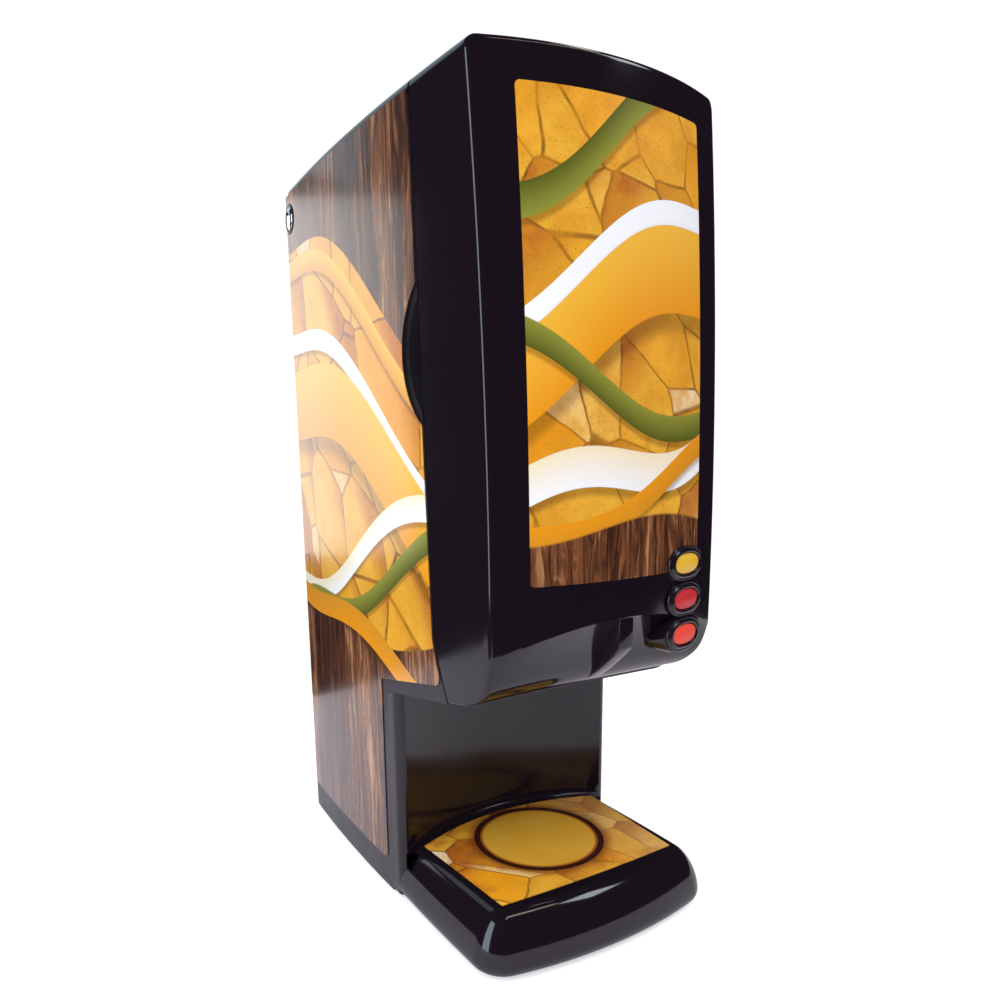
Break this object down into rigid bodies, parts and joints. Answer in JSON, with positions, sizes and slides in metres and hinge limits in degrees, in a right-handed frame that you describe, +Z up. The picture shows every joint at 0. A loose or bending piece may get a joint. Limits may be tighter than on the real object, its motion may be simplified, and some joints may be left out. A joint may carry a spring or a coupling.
{
  "type": "nacho cheese dispenser",
  "caption": "Countertop dispenser for bagged warm cheese sauce: leaning cabinet with a full-height door, picture window and push buttons over a low foot with a tray mat.",
  "frame": {"origin": "centre of the footprint's bounding box, on the counter", "axes": "+Z up, -Y toward the user in front of the door, +X toward the user's right"},
  "size_m": [0.2466, 0.3985, 0.684],
  "materials": {
    "black_steel": "satin",
    "printed_film": "gloss",
    "chrome_trim": "polished",
    "black_moulding": "gloss",
    "dark_plastic": "matte",
    "black_rubber": "matte",
    "yellow_plastic": "gloss",
    "red_plastic": "gloss",
    "orange_plastic": "gloss",
    "circuit_board": "satin",
    "stainless": "brushed",
    "plated_steel": "satin",
    "heater_aluminium": "satin",
    "white_plastic": "satin",
    "foam": "matte"
  },
  "bodies": {
    "cabinet": {"left_side_panel": "black_steel", "right_side_panel": "black_steel", "left_graphic_film": "printed_film", "right_graphic_film": "printed_film", "left_side_cap": "chrome_trim", "right_side_cap": "chrome_trim", "top_cover": "black_moulding", "rear_panel": "black_steel", "bottom_plate": "plated_steel", "foot_1": "black_rubber", "foot_2": "black_rubber", "foot_3": "black_rubber", "foot_4": "black_rubber", "base_housing": "black_moulding", "tray_mat": "printed_film", "head_floor": "black_moulding", "nozzle_bush": "white_plastic", "front_frame": "black_steel", "upper_hinge_pin": "stainless", "lower_hinge_pin": "stainless", "left_grip": "black_moulding", "chamber_liner": "stainless", "bag_rack": "stainless", "bag_tray": "stainless", "left_insulation": "foam", "right_insulation": "foam", "top_insulation": "foam", "equipment_shelf": "plated_steel", "pump_housing": "white_plastic", "clamp_pin": "stainless", "pump_gearbox": "heater_aluminium", "pump_motor": "plated_steel", "fan_frame": "dark_plastic", "fan_guard": "stainless", "heater": "heater_aluminium", "power_supply": "plated_steel", "control_board": "circuit_board", "power_inlet": "dark_plastic", "power_switch_housing": "dark_plastic"},
    "door": {"door_shell": "black_moulding", "picture_window": "printed_film", "door_liner": "dark_plastic", "door_gasket": "black_rubber", "yellow_bezel": "black_moulding", "red_bezel": "black_moulding", "orange_bezel": "black_moulding", "button_board": "circuit_board"},
    "yellow_cap": {"yellow_button": "yellow_plastic"},
    "red_cap": {"red_button": "red_plastic"},
    "orange_cap": {"orange_button": "orange_plastic"},
    "rotor": {"pump_rotor": "white_plastic"},
    "roller_1": {"pump_roller_1": "white_plastic"},
    "roller_2": {"pump_roller_2": "white_plastic"},
    "roller_3": {"pump_roller_3": "white_plastic"},
    "clamp": {"tube_clamp": "white_plastic"},
    "knob": {"clamp_knob": "dark_plastic"},
    "impeller": {"fan_impeller": "dark_plastic"},
    "rocker": {"power_rocker": "red_plastic"}
  },
  "joints": [
    {"name": "door_hinge", "type": "hinge", "parent": "cabinet", "child": "door", "pos_m": [0.108, -0.142, 0.45], "axis": [0, 0, 1], "range_deg": [0, 105]},
    {"name": "yellow_press", "type": "slide", "parent": "door", "child": "yellow_cap", "axis": [-0.2117, 0.9773, 0], "range_m": [0, 0.003], "stiffness_N_per_m": 400},
    {"name": "red_press", "type": "slide", "parent": "door", "child": "red_cap", "axis": [-0.2117, 0.9773, 0], "range_m": [0, 0.003], "stiffness_N_per_m": 400},
    {"name": "orange_press", "type": "slide", "parent": "door", "child": "orange_cap", "axis": [-0.2117, 0.9773, 0], "range_m": [0, 0.003], "stiffness_N_per_m": 400},
    {"name": "rotor_spin", "type": "hinge", "parent": "cabinet", "child": "rotor", "pos_m": [0.033, -0.08, 0.28], "axis": [0, 1, 0], "continuous": true},
    {"name": "roller_1_spin", "type": "hinge", "parent": "rotor", "child": "roller_1", "pos_m": [0.033, -0.08, 0.304], "axis": [0, 1, 0], "continuous": true},
    {"name": "roller_2_spin", "type": "hinge", "parent": "rotor", "child": "roller_2", "pos_m": [0.01222, -0.08, 0.268], "axis": [0, 1, 0], "continuous": true},
    {"name": "roller_3_spin", "type": "hinge", "parent": "rotor", "child": "roller_3", "pos_m": [0.05378, -0.08, 0.268], "axis": [0, 1, 0], "continuous": true},
    {"name": "clamp_swing", "type": "hinge", "parent": "cabinet", "child": "clamp", "pos_m": [0.01804, -0.08, 0.32111], "axis": [0, 1, 0], "range_deg": [0, 45]},
    {"name": "knob_turn", "type": "hinge", "parent": "clamp", "child": "knob", "pos_m": [-0.00778, -0.092, 0.26098], "axis": [0, 1, 0], "continuous": true},
    {"name": "fan_spin", "type": "hinge", "parent": "cabinet", "child": "impeller", "pos_m": [0, 0.15265, 0.52], "axis": [0, 1, 0], "continuous": true},
    {"name": "rocker_tip", "type": "hinge", "parent": "cabinet", "child": "rocker", "pos_m": [0.015, 0.19333, 0.05], "axis": [1, 0, 0], "range_deg": [-9, 9]}
  ],
  "couplings": [
    {"joint": "roller_1_spin", "follows": "rotor_spin", "ratio": -4},
    {"joint": "roller_2_spin", "follows": "rotor_spin", "ratio": -4},
    {"joint": "roller_3_spin", "follows": "rotor_spin", "ratio": -4}
  ]
}
